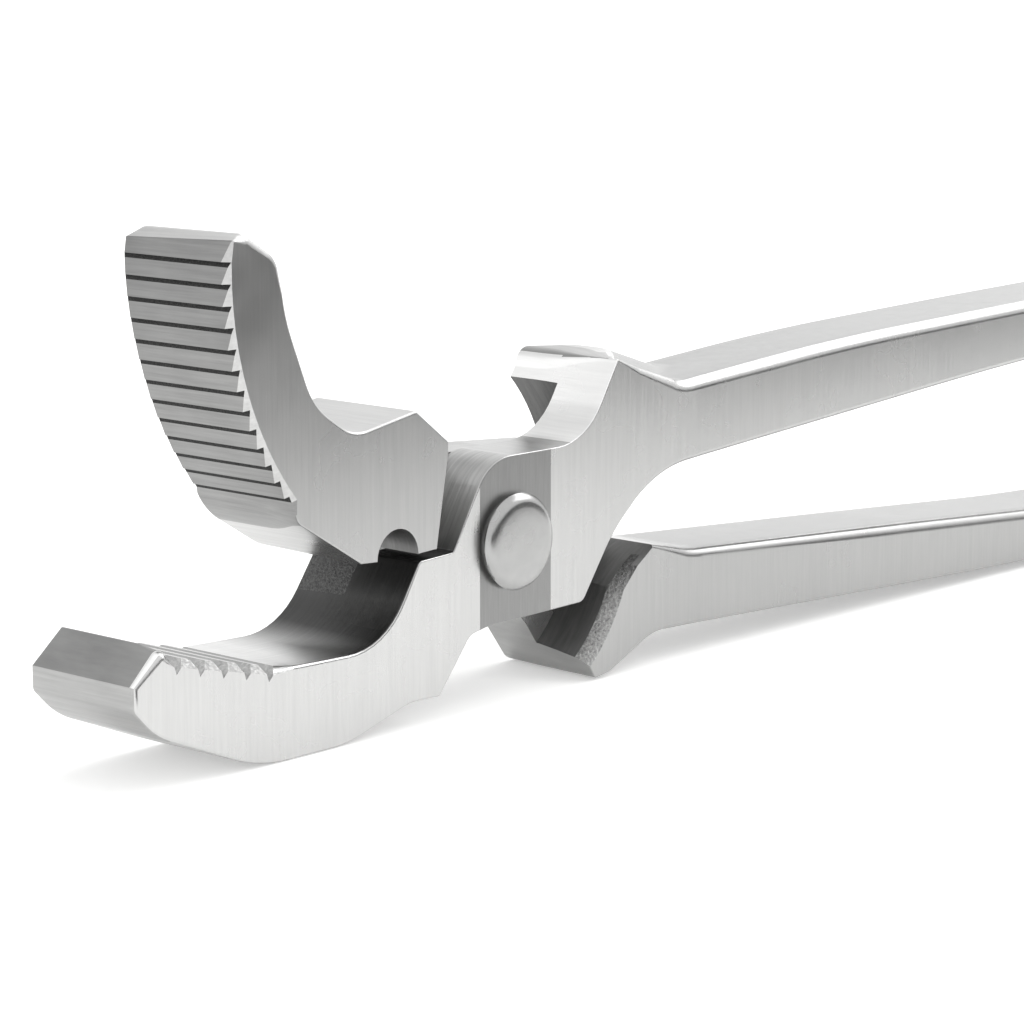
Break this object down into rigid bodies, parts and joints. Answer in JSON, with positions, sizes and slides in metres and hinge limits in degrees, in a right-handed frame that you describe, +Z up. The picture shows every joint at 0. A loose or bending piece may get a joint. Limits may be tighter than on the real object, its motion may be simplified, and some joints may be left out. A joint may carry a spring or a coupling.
{
  "type": "farrier's clinching tongs",
  "caption": "Curved-jaw clinching tongs of bare ground steel: two half-lapped forged levers on a mushroom-headed rivet, a toothed upper jaw and a dished lower jaw.",
  "frame": {"origin": "middle of the base of the bounding box, on the surface that the tool stands on when it stands on edge", "axes": "+X runs from the jaws to the handle ends, +Y is the depth of the head, along the rivet, and +Z is up"},
  "size_m": [0.355, 0.027, 0.0811],
  "materials": {
    "front_lever_steel": "ground, satin, bare",
    "rear_lever_steel": "ground, satin, bare",
    "rivet_steel": "hammered and polished, bare"
  },
  "bodies": {
    "front_lever": {"front_lever": "front_lever_steel", "rivet": "rivet_steel"},
    "rear_lever": {"rear_lever": "rear_lever_steel"}
  },
  "joints": [
    {"name": "rivet_pivot", "type": "hinge", "parent": "front_lever", "child": "rear_lever", "pos_m": [-0.0951, 0, 0.027], "axis": [0, 1, 0], "range_deg": [0, 68]}
  ]
}
